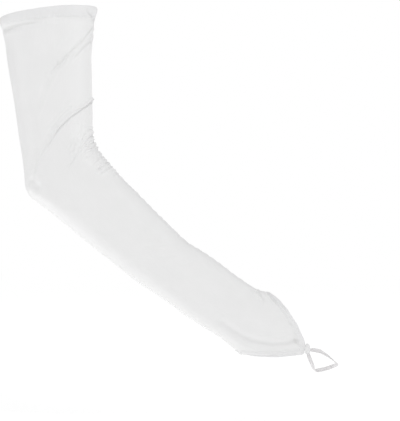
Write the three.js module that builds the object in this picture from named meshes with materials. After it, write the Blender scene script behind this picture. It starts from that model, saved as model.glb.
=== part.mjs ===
// Evening mitten: a long fingerless glove of stretch satin, held in the bent form that it has in use.
// Millimetres, +Z up along the wide upper part, +Y away from the pointed face, origin in the middle of the
// wide opening. The tube runs down from there, bends once, narrows on a slant and ends in the narrow
// opening, whose edge is straight across the rear and comes to a point in front, where a small casing
// carries an elastic loop.
import * as THREE from 'three';

// ---- driving dimensions ----
const CLOTH = 1.2; // wall of the sleeve
const HEM_OUT = 0.5; // how far a turned hem stands out past the sleeve's outer face
const HEM_IN = 0.7; // and past its inner face
const TOP_HEM_DEPTH = 10.8; // wide opening's hem, measured down the sleeve
const HAND_HEM_WIDTH = 6.4; // narrow opening's hem, measured square to its edge
const GAP = 0.4; // between neighbouring pieces
const HAND_SLANT = -26.3; // degrees, the pointed flap's line below the level
const HAND_SPREAD = 0.05; // how much wider the flap's surface is at the point than where it starts
const HAND_LENGTH = 62; // straight edge to point
const HAND_THINS_FRONT = 4.2; // how much nearer the middle plane the flap is at the point
const HAND_THINS_BACK = 3.0;
const CASING_WALL = 1.0; // the folded casing at the point
const CASING_HALF = 2.0; // and half its thickness from front to rear
const CASING_MIDDLE = -15.6;
const FULL_FRONT = 2.2; // how much fuller than an oval the front is, halfway between its middle and its sides
const LOOP_THICK = 1.1; // the flat elastic
const FINGER = { x: 289.6, y: -3.5, z: -369.8, slant: -41.1, rise: 0.5 }; // middle of the loop and the line that it is square to

// mesh density
const COLUMNS = 36;
const CROWD = 0.42; // how much closer the columns stand at the point than at the rear
const POINT_AT = 88; // degrees round the sleeve where the point lies
const ARM_ROWS = 30; // wide opening to just past the bend
const FOREARM_ROWS = 9;
const HAND_ROWS = 11;
const ELBOW_END = 200; // mm along the middle line
const HAND_START = 340;
const LOOP_SIDES = [[-0.5, 0], [-0.4, 0.5], [0.4, 0.5], [0.5, 0], [0.4, -0.5], [-0.4, -0.5]];

// Cross-sections from the wide opening to the narrow opening's straight edge. outer and inner are the two
// ends of the section as seen from the front (outer = the long side of the bend, inner = the short side).
// front and back are how far the section reaches before and behind the middle plane.
const SECTIONS = [
  { outerX: -50.4, outerZ: -6.3, innerX: 50.9, innerZ: 6.3, front: 45.1, back: 45.1 },
  { outerX: -49.4, outerZ: -16.3, innerX: 47.9, innerZ: -6.8, front: 43.6, back: 43.6 },
  { outerX: -46.2, outerZ: -28.4, innerX: 45.8, innerZ: -23.1, front: 43.1, back: 43.1 },
  { outerX: -42.7, outerZ: -51.5, innerX: 44.6, innerZ: -48.3, front: 41.5, back: 41.5 },
  { outerX: -38.9, outerZ: -75.6, innerX: 45.1, innerZ: -75.6, front: 40.4, back: 40.4 },
  { outerX: -35.2, outerZ: -98.7, innerX: 45.7, innerZ: -98.7, front: 39.4, back: 39.4 },
  { outerX: -31.5, outerZ: -122.9, innerX: 45.7, innerZ: -118.7, front: 38.9, back: 38.9 },
  { outerX: -28.4, outerZ: -144.9, innerX: 46.5, innerZ: -131.2, front: 38.9, back: 38.9 },
  { outerX: -25.7, outerZ: -165.9, innerX: 49.9, innerZ: -138.6, front: 38.9, back: 38.9 },
  { outerX: -23.3, outerZ: -183.8, innerX: 54.6, innerZ: -146.5, front: 38.9, back: 38.9 },
  { outerX: -19.9, outerZ: -190.6, innerX: 60.9, innerZ: -153.8, front: 38.3, back: 38.3 },
  { outerX: -11.6, outerZ: -197.9, innerX: 68.2, innerZ: -162.2, front: 37.8, back: 37.8 },
  { outerX: 3.2, outerZ: -209.0, innerX: 78.8, innerZ: -174.3, front: 36.2, back: 36.2 },
  { outerX: 19.9, outerZ: -222.6, innerX: 91.4, innerZ: -186.9, front: 34.6, back: 34.6 },
  { outerX: 41.0, outerZ: -240.5, innerX: 108.2, innerZ: -204.2, front: 32.6, back: 32.6 },
  { outerX: 62.0, outerZ: -257.2, innerX: 125.0, innerZ: -220.5, front: 30.5, back: 30.5 },
  { outerX: 83.0, outerZ: -274.1, innerX: 143.8, innerZ: -238.4, front: 27.8, back: 27.8 },
  { outerX: 104.0, outerZ: -288.8, innerX: 162.8, innerZ: -250.4, front: 25.2, back: 25.2 },
  { outerX: 125.0, outerZ: -302.9, innerX: 180.6, innerZ: -263.0, front: 23.1, back: 23.1 },
  { outerX: 146.0, outerZ: -318.7, innerX: 196.3, innerZ: -274.6, front: 21.0, back: 21.0 },
  { outerX: 164.8, outerZ: -330.8, innerX: 209.0, innerZ: -283.5, front: 19.9, back: 19.9 },
  { outerX: 179.6, outerZ: -339.7, innerX: 217.4, innerZ: -288.8, front: 19.2, back: 18.9 },
  { outerX: 191.1, outerZ: -349.1, innerX: 224.7, innerZ: -291.1, front: 18.9, back: 17.9 },
  { outerX: 200.6, outerZ: -357.0, innerX: 232.1, innerZ: -293.3, front: 18.9, back: 17.3 },
];

// Edge of the narrow opening: how far it reaches past the last section, by the angle round the tube.
// 0 is the inner side, 90 the front, 180 the outer side, 270 the rear.
const RIM = [
  { around: 0, reach: 2 },
  { around: 12, reach: 8.6 },
  { around: 26, reach: 15.3 },
  { around: 35, reach: 21.9 },
  { around: 48, reach: 30.9 },
  { around: 58, reach: 39.2 },
  { around: 68, reach: 45.8 },
  { around: 77.5, reach: 52.6 },
  { around: 81.6, reach: 54.7 },
  { around: 88, reach: 56.7 },
  { around: 93.5, reach: 57.4 },
  { around: 97, reach: 58.2 },
  { around: 100, reach: 57 },
  { around: 104, reach: 53.3 },
  { around: 112, reach: 46.0 },
  { around: 124, reach: 35.4 },
  { around: 136, reach: 23.8 },
  { around: 150, reach: 11.9 },
  { around: 158, reach: 5.7 },
  { around: 176, reach: -0.1 },
  { around: 200, reach: -3 },
  { around: 235, reach: -4.5 },
  { around: 270, reach: -4.5 },
  { around: 310, reach: -3 },
  { around: 340, reach: -1 },
];

// Folds and dents. Each runs over the sleeve from one place through a second to a third, a place being mm
// along the middle line and degrees round (as above). height is the ridge (plus) or dent (minus) at its
// start and end, width its half width, groove how deep the groove beside it is as a share of the ridge,
// on the side towards the narrow opening.
const FOLDS = [
  { name: 'upper_drag', from: [22, 4], through: [38, 42], to: [60, 77], width: 4.2, start: 1.9, end: 0.9, groove: 0.6 },
  { name: 'upper_drag_fading', from: [60, 77], through: [88, 99], to: [126, 122], width: 8, start: 0.9, end: 0.3, groove: 0.5 },
  { name: 'cross_fold', from: [89, 0], through: [120, 73], to: [163, 131], width: 4.2, start: 1.7, end: 1.2, groove: 0.8 },
  { name: 'bend_gather_upper', from: [126, -6], through: [146, 47], to: [160, 72], width: 4, start: 1.4, end: 0.3, groove: 0.7 },
  { name: 'bend_gather_middle', from: [138, -8], through: [152, 45], to: [170, 82], width: 4, start: 1.5, end: 0.3, groove: 0.7 },
  { name: 'bend_gather_third', from: [155, -12], through: [161, 22], to: [168, 48], width: 3.6, start: 1.3, end: 0.3, groove: 0.7 },
  { name: 'bend_gather_fourth', from: [169, -12], through: [175, 25], to: [183, 50], width: 3.6, start: 1.2, end: 0.3, groove: 0.7 },
  { name: 'bend_gather_lower', from: [181, -10], through: [188, 30], to: [196, 56], width: 3.8, start: 1.1, end: 0.3, groove: 0.7 },
  { name: 'elbow_outer_crease', from: [138, 131], through: [156, 130], to: [172, 137], width: 5, start: -0.5, end: -1.3, groove: 0 },
  { name: 'elbow_dent', from: [168, 140], through: [171, 146], to: [175, 150], width: 8, start: -1.4, end: -1.2, groove: 0 },
  { name: 'arm_hem_ditch', from: [14.5, 0], through: [14.5, 90], to: [14.5, 180], width: 3.4, start: -0.7, end: -0.9, groove: 0 },
  { name: 'hand_hollow_outer', from: [392, 112], through: [436, 106], to: [474, 88], width: 8, start: -0.8, end: -1.8, groove: 0 },
  { name: 'hand_hollow_inner', from: [440, 36], through: [457, 52], to: [474, 80], width: 6.5, start: -0.6, end: -1.4, groove: 0 },
  { name: 'inner_pucker_near', from: [404, 8], through: [408, 36], to: [411, 60], width: 3.2, start: 0.9, end: 0.1, groove: 0.8 },
  { name: 'inner_pucker_far', from: [417, 6], through: [421, 34], to: [424, 56], width: 3.2, start: 0.9, end: 0.1, groove: 0.8 },
  { name: 'arm_hem_ditch_behind', from: [14.5, 180], through: [14.5, 270], to: [14.5, 360], width: 3.4, start: -0.9, end: -0.7, groove: 0 },
  { name: 'cross_fold_behind', from: [96, 340], through: [121, 286], to: [158, 236], width: 4.6, start: 0.8, end: 0.9, groove: 0.7 },
  { name: 'bend_gather_behind_upper', from: [132, 352], through: [147, 316], to: [160, 290], width: 4.2, start: 1.4, end: 0.3, groove: 0.7 },
  { name: 'bend_gather_behind_middle', from: [148, 352], through: [158, 320], to: [170, 288], width: 4.2, start: 1.4, end: 0.3, groove: 0.7 },
  { name: 'bend_gather_behind_lower', from: [169, 352], through: [176, 328], to: [186, 304], width: 4, start: 1.3, end: 0.3, groove: 0.7 },
];
const FOLD_STEPS = 12;

// Cross-section of a turned hem: share of its depth from the open edge, and height over the sleeve's outer
// face. The first rows go along its outer face, the others come back along its inner face.
const HEM_PROFILE = [
  { along: 0, out: -0.3 },
  { along: 0.12, out: HEM_OUT },
  { along: 0.9, out: 0.8 * HEM_OUT },
  { along: 1, out: 0 },
  { along: 1, out: -CLOTH },
  { along: 0.88, out: -CLOTH - 0.8 * HEM_IN },
  { along: 0.12, out: -CLOTH - HEM_IN },
  { along: 0, out: -CLOTH },
];

// The elastic's middle line: round its bend inside the casing, out to the loop's far side, behind it, and back
// to the casing. turn is how far the band is twisted from facing straight out of the loop.
const LOOP = [
  { x: 270.6, y: -15.6, z: -353.9, width: 2.8, turn: 0 },
  { x: 269.9, y: -15.6, z: -352.3, width: 1.6, turn: 0 },
  { x: 269.6, y: -15.6, z: -350.9, width: 1.3, turn: 0 },
  { x: 270, y: -15.6, z: -349.7, width: 1.3, turn: 0 },
  { x: 271.2, y: -15.6, z: -349.7, width: 1.6, turn: 0 },
  { x: 272.6, y: -15.6, z: -351, width: 2.4, turn: 0 },
  { x: 274.6, y: -15.6, z: -350.9, width: 3.8, turn: 0 },
  { x: 278.6, y: -15.4, z: -351.4, width: 4.2, turn: 0 },
  { x: 283.2, y: -14.6, z: -352.5, width: 4.2, turn: -5 },
  { x: 287, y: -13.4, z: -354.7, width: 4, turn: -12 },
  { x: 290.5, y: -12.2, z: -356.9, width: 4, turn: -20 },
  { x: 294.5, y: -10.3, z: -359.9, width: 4.2, turn: -20 },
  { x: 300.6, y: -4.6, z: -365.4, width: 4.2, turn: -12 },
  { x: 301.8, y: 2, z: -368.4, width: 4.2, turn: -8 },
  { x: 297.8, y: 6.5, z: -371, width: 4.2, turn: 0 },
  { x: 292.5, y: 8, z: -373.1, width: 4.2, turn: 0 },
  { x: 286, y: 6.5, z: -374.4, width: 4.2, turn: 0 },
  { x: 280.7, y: 2.2, z: -374.7, width: 4.2, turn: 0 },
  { x: 277.8, y: -3.6, z: -372.6, width: 4.2, turn: 0 },
  { x: 275.6, y: -9.6, z: -367, width: 4.1, turn: 0 },
  { x: 273.2, y: -13.3, z: -361.6, width: 4.1, turn: 0 },
  { x: 271.6, y: -15.2, z: -357.6, width: 4, turn: 0 },
  { x: 270.95, y: -15.6, z: -355.7, width: 3.6, turn: 0 },
];
const LOOP_STEPS = 69;

// The casing: the point's cloth folded over the elastic, open towards the loop. A row is one section, from the
// fold to the free edge, as seen from the front.
const CASING = [
  { foldX: 267.7, foldZ: -354.9, lipX: 271.7, lipZ: -354.2 },
  { foldX: 267.25, foldZ: -353.2, lipX: 271.8, lipZ: -354 },
  { foldX: 267.2, foldZ: -351.4, lipX: 271.9, lipZ: -353.8 },
  { foldX: 267.35, foldZ: -349.4, lipX: 272.05, lipZ: -353.6 },
  { foldX: 267.6, foldZ: -347.4, lipX: 272.15, lipZ: -353.45 },
  { foldX: 268, foldZ: -345.7, lipX: 272.25, lipZ: -353.3 },
  { foldX: 269, foldZ: -344.5, lipX: 272.35, lipZ: -353.15 },
  { foldX: 270.3, foldZ: -344.1, lipX: 272.45, lipZ: -353 },
  { foldX: 271.5, foldZ: -345, lipX: 272.55, lipZ: -352.85 },
  { foldX: 272.5, foldZ: -346.6, lipX: 272.65, lipZ: -352.7 },
  { foldX: 272.95, foldZ: -348.4, lipX: 272.7, lipZ: -352.5 },
];
const CASING_ACROSS = [-1, -0.62, -0.42, -0.2, 0, 0.2, 0.42, 0.62, 1]; // front free edge, fold, rear free edge

// ---- the sleeve's surface ----
const rad = THREE.MathUtils.degToRad;

function interpolator(xs, ys) {
  // smooth curve through the rows, with tangents that give no overshoot at a corner
  const n = xs.length;
  const slope = [];
  for (let i = 0; i < n - 1; i++) slope.push((ys[i + 1] - ys[i]) / (xs[i + 1] - xs[i]));
  const tangent = ys.map((_, i) => {
    if (i === 0) return slope[0];
    if (i === n - 1) return slope[n - 2];
    const a = xs[i] - xs[i - 1], b = xs[i + 1] - xs[i];
    return (slope[i - 1] * b + slope[i] * a) / (a + b);
  });
  return (x) => {
    const q = Math.min(Math.max(x, xs[0]), xs[n - 1]);
    let i = 0;
    while (i < n - 2 && q > xs[i + 1]) i++;
    const h = xs[i + 1] - xs[i], t = (q - xs[i]) / h;
    return (1 + 2 * t) * (1 - t) ** 2 * ys[i] + t * (1 - t) ** 2 * h * tangent[i]
      + t * t * (3 - 2 * t) * ys[i + 1] + t * t * (t - 1) * h * tangent[i + 1];
  };
}

const stations = [0];
for (let i = 1; i < SECTIONS.length; i++) {
  const p = SECTIONS[i - 1], q = SECTIONS[i];
  stations.push(stations[i - 1] + Math.hypot((q.outerX + q.innerX - p.outerX - p.innerX) / 2, (q.outerZ + q.innerZ - p.outerZ - p.innerZ) / 2));
}
const PALM = stations[stations.length - 1];
const column = {};
for (const key of Object.keys(SECTIONS[0])) column[key] = interpolator(stations, SECTIONS.map((row) => row[key]));
const handX = Math.cos(rad(HAND_SLANT)), handZ = Math.sin(rad(HAND_SLANT));

// a point of the smooth sleeve: u mm along the middle line, t degrees round
function smooth(u, t) {
  const c = Math.min(u, PALM), past = Math.max(u - PALM, 0), share = Math.min(past / HAND_LENGTH, 1.2);
  const ox = column.outerX(c), oz = column.outerZ(c), ix = column.innerX(c), iz = column.innerZ(c);
  const spread = (1 + HAND_SPREAD * share) * Math.cos(rad(t)), s = Math.sin(rad(t));
  const depth = s > 0 ? column.front(c) - HAND_THINS_FRONT * share : column.back(c) - HAND_THINS_BACK * share;
  return new THREE.Vector3(
    (ox + ix) / 2 + ((ix - ox) / 2) * spread + past * handX,
    -depth * s,
    (oz + iz) / 2 + ((iz - oz) / 2) * spread + past * handZ,
  );
}

function normalOf(surface, u, t) {
  const du = surface(u + 0.4, t).sub(surface(u - 0.4, t));
  const dt = surface(u, t + 0.5).sub(surface(u, t - 0.5));
  return dt.cross(du).normalize();
}
const outward = Math.sign(normalOf(smooth, 60, 90).y) < 0 ? 1 : -1;
const smoothNormal = (u, t) => normalOf(smooth, u, t).multiplyScalar(outward);

const folds = FOLDS.map((fold) => {
  const path = [];
  for (let k = 0; k <= FOLD_STEPS; k++) {
    const s = k / FOLD_STEPS, a = (1 - s) * (1 - 2 * s), b = 4 * s * (1 - s), c = s * (2 * s - 1);
    const u = a * fold.from[0] + b * fold.through[0] + c * fold.to[0];
    const t = a * fold.from[1] + b * fold.through[1] + c * fold.to[1];
    path.push(smooth(u, t));
  }
  return { ...fold, path };
});
const bell = (x) => Math.exp(-x * x);

function height(point, normal) {
  let total = 0;
  for (const fold of folds) {
    let best = Infinity, side = 0, where = 0;
    for (let k = 0; k < FOLD_STEPS; k++) {
      const a = fold.path[k], along = fold.path[k + 1].clone().sub(a);
      const s = THREE.MathUtils.clamp(point.clone().sub(a).dot(along) / along.lengthSq(), 0, 1);
      const to = point.clone().sub(a.clone().addScaledVector(along, s));
      if (to.length() < best) {
        best = to.length();
        side = to.dot(normal.clone().cross(along)) >= 0 ? 1 : -1;
        where = (k + s) / FOLD_STEPS;
      }
    }
    if (best > 4 * fold.width) continue;
    const amount = fold.start + (fold.end - fold.start) * where, x = (side * best) / fold.width;
    total += amount * (bell(x) - fold.groove * bell((x - 1.5) / 0.9));
  }
  return total;
}

// the front is flatter than an oval's, and turns to the sides in less space
function fuller(u, t) {
  const wrapped = THREE.MathUtils.euclideanModulo(t, 360);
  return wrapped < 180 ? FULL_FRONT * Math.sin(2 * rad(wrapped)) ** 2 * (1 - THREE.MathUtils.smoothstep(u, 345, 400)) : 0;
}

// a point at a height over the folded outer face
function at(u, t, out) {
  const point = smooth(u, t), normal = smoothNormal(u, t);
  return point.clone().addScaledVector(normal, height(point, normal) + fuller(u, t) + out);
}

// ---- lines round the sleeve ----
const rimAngles = [], rimReach = [];
for (const turn of [-360, 0, 360]) for (const row of RIM) { rimAngles.push(row.around + turn); rimReach.push(row.reach); }
const reach = interpolator(rimAngles, rimReach);
const rimAt = (t) => PALM + reach(t);
const around = Array.from({ length: COLUMNS }, (_, j) => {
  const t = (360 * j) / COLUMNS;
  return t - THREE.MathUtils.radToDeg(CROWD) * Math.sin(rad(t - POINT_AT));
});
const rimLine = Array.from({ length: 480 }, (_, k) => smooth(rimAt(k * 0.75), k * 0.75));
const rimSegments = rimLine.map((p, k) => new THREE.Line3(p, rimLine[(k + 1) % rimLine.length]));
const nearest = new THREE.Vector3();
function fromRim(u, t) {
  const p = smooth(u, t);
  let best = Infinity;
  for (const line of rimSegments) best = Math.min(best, line.closestPointToPoint(p, true, nearest).distanceTo(p));
  return best;
}
// the line round the sleeve that lies a given distance in from the narrow opening's edge
function inFromRim(distance) {
  return around.map((t) => {
    let high = rimAt(t), low = high - 40;
    for (let k = 0; k < 24; k++) {
      const mid = (high + low) / 2;
      if (fromRim(mid, t) > distance) low = mid; else high = mid;
    }
    return (high + low) / 2;
  });
}
const hemLine = inFromRim(HAND_HEM_WIDTH);
const sleeveEnd = inFromRim(HAND_HEM_WIDTH + GAP);

// ---- closed meshes ----
function body(name, position, quads, colour, roughness) {
  const index = [];
  const corner = (i) => new THREE.Vector3(position[3 * i], position[3 * i + 1], position[3 * i + 2]);
  for (const [a, b, c, d] of quads) {
    if (corner(a).distanceTo(corner(c)) <= corner(b).distanceTo(corner(d))) index.push(a, b, c, a, c, d);
    else index.push(a, b, d, b, c, d);
  }
  let volume = 0;
  for (let i = 0; i < index.length; i += 3) volume += corner(index[i]).dot(corner(index[i + 1]).cross(corner(index[i + 2])));
  if (volume < 0) for (let i = 0; i < index.length; i += 3) [index[i + 1], index[i + 2]] = [index[i + 2], index[i + 1]];
  const geometry = new THREE.BufferGeometry();
  geometry.setAttribute('position', new THREE.Float32BufferAttribute(position, 3));
  geometry.setIndex(index);
  geometry.computeVertexNormals();
  const mesh = new THREE.Mesh(geometry, new THREE.MeshStandardMaterial({ color: colour, roughness, metalness: 0 }));
  mesh.name = name;
  return mesh;
}

// a body like a ring: `around` closes on itself, and so does its cross-section
function ring(name, sections, sides, place, colour, roughness) {
  const position = [], quads = [];
  for (let k = 0; k < sections; k++) for (let j = 0; j < sides; j++) position.push(...place(k, j).toArray());
  const id = (k, j) => (k % sections) * sides + (j % sides);
  for (let k = 0; k < sections; k++) for (let j = 0; j < sides; j++) quads.push([id(k, j), id(k + 1, j), id(k + 1, j + 1), id(k, j + 1)]);
  return body(name, position, quads, colour, roughness);
}

// a body like a folded sheet: its outer face, its inner face and the edge all round between them
function sheet(name, rows, columns, place, colour, roughness) {
  const position = [], quads = [];
  for (const inside of [false, true]) for (let i = 0; i < rows; i++) for (let j = 0; j < columns; j++) position.push(...place(i, j, inside).toArray());
  const id = (i, j, inside) => (inside ? rows * columns : 0) + i * columns + j;
  for (let i = 0; i < rows - 1; i++) {
    for (let j = 0; j < columns - 1; j++) {
      quads.push([id(i, j), id(i, j + 1), id(i + 1, j + 1), id(i + 1, j)]);
      quads.push([id(i, j, true), id(i + 1, j, true), id(i + 1, j + 1, true), id(i, j + 1, true)]);
    }
  }
  const edge = [];
  for (let j = 0; j < columns; j++) edge.push([0, j]);
  for (let i = 1; i < rows; i++) edge.push([i, columns - 1]);
  for (let j = columns - 2; j >= 0; j--) edge.push([rows - 1, j]);
  for (let i = rows - 2; i > 0; i--) edge.push([i, 0]);
  edge.forEach(([i, j], k) => {
    const [i2, j2] = edge[(k + 1) % edge.length];
    quads.push([id(i2, j2), id(i, j), id(i, j, true), id(i2, j2, true)]);
  });
  return body(name, position, quads, colour, roughness);
}

const WHITE = 0xe9e9e8, HEM_WHITE = 0xededec, ELASTIC = 0xe4e1e0;
const glove = new THREE.Group();

// sleeve: rows down the outer face from the wide opening's hem to the narrow one's, then back up inside
const top = TOP_HEM_DEPTH + GAP;
const rows = [];
for (let i = 0; i < ARM_ROWS; i++) rows.push(() => top + ((ELBOW_END - top) * i) / ARM_ROWS);
for (let i = 0; i < FOREARM_ROWS; i++) rows.push(() => ELBOW_END + ((HAND_START - ELBOW_END) * i) / FOREARM_ROWS);
for (let i = 0; i <= HAND_ROWS; i++) rows.push((j) => HAND_START + ((sleeveEnd[j] - HAND_START) * i) / HAND_ROWS);
glove.add(ring('sleeve', 2 * rows.length, COLUMNS, (k, j) => {
  const inside = k >= rows.length, row = inside ? 2 * rows.length - 1 - k : k;
  return at(rows[row](j), around[j], inside ? -CLOTH : 0);
}, WHITE, 0.5));

// hems: the turned bands that end the sleeve
glove.add(ring('top_hem', HEM_PROFILE.length, COLUMNS, (k, j) => {
  const { along, out } = HEM_PROFILE[k];
  return at(TOP_HEM_DEPTH * along, around[j], out);
}, HEM_WHITE, 0.5));
glove.add(ring('hand_hem', HEM_PROFILE.length, COLUMNS, (k, j) => {
  const { along, out } = HEM_PROFILE[k], rim = rimAt(around[j]);
  return at(rim + (hemLine[j] - rim) * along, around[j], out);
}, HEM_WHITE, 0.5));

// loop casing: the point's cloth, folded over the elastic
glove.add(sheet('loop_casing', CASING.length, CASING_ACROSS.length, (i, j, inside) => {
  const { foldX, foldZ, lipX, lipZ } = CASING[i], f = CASING_ACROSS[j], wall = inside ? CASING_WALL : 0;
  const length = Math.hypot(lipX - foldX, lipZ - foldZ);
  const bend = Math.min(Math.abs(f) / 0.62, 1) * Math.PI / 2, rest = Math.max((Math.abs(f) - 0.62) / 0.38, 0);
  const share = (wall + (CASING_HALF - wall) * (1 - Math.cos(bend)) + (length - CASING_HALF) * rest) / length;
  const deep = Math.sign(f) * (CASING_HALF - wall) * Math.sin(bend);
  return new THREE.Vector3(foldX + (lipX - foldX) * share, CASING_MIDDLE + deep, foldZ + (lipZ - foldZ) * share);
}, HEM_WHITE, 0.5));

// finger loop: a flat band along a closed line, its flat side turned to the loop's middle
const loopLine = new THREE.CatmullRomCurve3(LOOP.map((row) => new THREE.Vector3(row.x, row.y, row.z)), true, 'centripetal');
const fingerX = Math.cos(rad(FINGER.slant)), fingerZ = Math.sin(rad(FINGER.slant));
function loopFrame(k) {
  const s = k / LOOP_STEPS, point = loopLine.getPoint(s), tangent = loopLine.getTangent(s);
  const past = (point.x - FINGER.x) * fingerX + (point.z - FINGER.z) * fingerZ;
  const middle = new THREE.Vector3(FINGER.x + past * fingerX, FINGER.y + FINGER.rise * Math.max(-past, 0), FINGER.z + past * fingerZ);
  const face = point.clone().sub(middle);
  face.addScaledVector(tangent, -face.dot(tangent)).normalize();
  const place = s * LOOP.length, f = place - Math.floor(place);
  const from = LOOP[Math.floor(place) % LOOP.length], to = LOOP[(Math.floor(place) + 1) % LOOP.length];
  face.applyAxisAngle(tangent, rad(THREE.MathUtils.lerp(from.turn, to.turn, f)));
  return { point, face, across: tangent.clone().cross(face), width: THREE.MathUtils.lerp(from.width, to.width, f) };
}
glove.add(ring('finger_loop', LOOP_STEPS, LOOP_SIDES.length, (k, j) => {
  const { point, face, across, width } = loopFrame(k);
  return point.addScaledVector(across, LOOP_SIDES[j][0] * width).addScaledVector(face, LOOP_SIDES[j][1] * LOOP_THICK);
}, ELASTIC, 0.7));

export default glove;
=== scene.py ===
import math

import bpy
import numpy as np
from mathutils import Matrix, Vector


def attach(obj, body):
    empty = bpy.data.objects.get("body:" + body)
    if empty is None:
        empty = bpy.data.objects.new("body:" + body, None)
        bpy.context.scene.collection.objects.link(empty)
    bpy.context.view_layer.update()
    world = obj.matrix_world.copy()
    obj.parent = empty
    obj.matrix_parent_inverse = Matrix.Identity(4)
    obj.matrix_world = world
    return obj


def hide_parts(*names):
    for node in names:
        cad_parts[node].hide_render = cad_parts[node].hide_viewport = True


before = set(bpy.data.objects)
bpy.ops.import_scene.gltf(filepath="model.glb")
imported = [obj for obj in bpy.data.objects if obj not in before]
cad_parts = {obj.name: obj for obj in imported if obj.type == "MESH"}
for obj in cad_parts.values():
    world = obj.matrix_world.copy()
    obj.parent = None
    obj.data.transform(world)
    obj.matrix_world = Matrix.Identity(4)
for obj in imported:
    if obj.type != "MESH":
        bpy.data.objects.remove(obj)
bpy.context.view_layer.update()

MM = 0.001


# ---------------------------------------------------------------------------------------------------------
# Driving sizes, in millimetres. They are the same as the frame's: Z runs up the upper part of the tube, the
# pointed face looks to -Y, and the origin is in the middle of the wide opening.
# ---------------------------------------------------------------------------------------------------------
def table(columns, rows):
    """A small table with named columns: one list entry per line."""
    names = columns.split()
    out = []
    for line in rows.strip().splitlines():
        cells = line.split()
        out.append(dict(zip(names, cells)))
    return out


SECTIONS = table("outerX outerZ innerX innerZ front back", """
 -50.4   -6.3   50.9    6.3  45.1 45.1
 -49.4  -16.3   47.9   -6.8  43.6 43.6
 -46.2  -28.4   45.8  -23.1  43.1 43.1
 -42.7  -51.5   44.6  -48.3  41.5 41.5
 -38.9  -75.6   45.1  -75.6  40.4 40.4
 -35.2  -98.7   45.7  -98.7  39.4 39.4
 -31.5 -122.9   45.7 -118.7  38.9 38.9
 -28.4 -144.9   46.5 -131.2  38.9 38.9
 -25.7 -165.9   49.9 -138.6  38.9 38.9
 -23.3 -183.8   54.6 -146.5  38.9 38.9
 -19.9 -190.6   60.9 -153.8  38.3 38.3
 -11.6 -197.9   68.2 -162.2  37.8 37.8
   3.2 -209.0   78.8 -174.3  36.2 36.2
  19.9 -222.6   91.4 -186.9  34.6 34.6
  41.0 -240.5  108.2 -204.2  32.6 32.6
  62.0 -257.2  125.0 -220.5  30.5 30.5
  83.0 -274.1  143.8 -238.4  27.8 27.8
 104.0 -288.8  162.8 -250.4  25.2 25.2
 125.0 -302.9  180.6 -263.0  23.1 23.1
 146.0 -318.7  196.3 -274.6  21.0 21.0
 164.8 -330.8  209.0 -283.5  19.9 19.9
 179.6 -339.7  217.4 -288.8  19.2 18.9
 191.1 -349.1  224.7 -291.1  18.9 17.9
 200.6 -357.0  232.1 -293.3  18.9 17.3
""")

RIM = table("around reach", """
   0    2
  12    8.6
  26   15.3
  35   21.9
  48   30.9
  58   39.2
  68   45.8
  77.5 52.6
  81.6 54.7
  88   56.7
  93.5 57.4
  97   58.2
 100   57.0
 104   53.3
 112   46.0
 124   35.4
 136   23.8
 150   11.9
 158    5.7
 176   -0.1
 200   -3
 235   -4.5
 270   -4.5
 310   -3
 340   -1
""")

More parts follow.
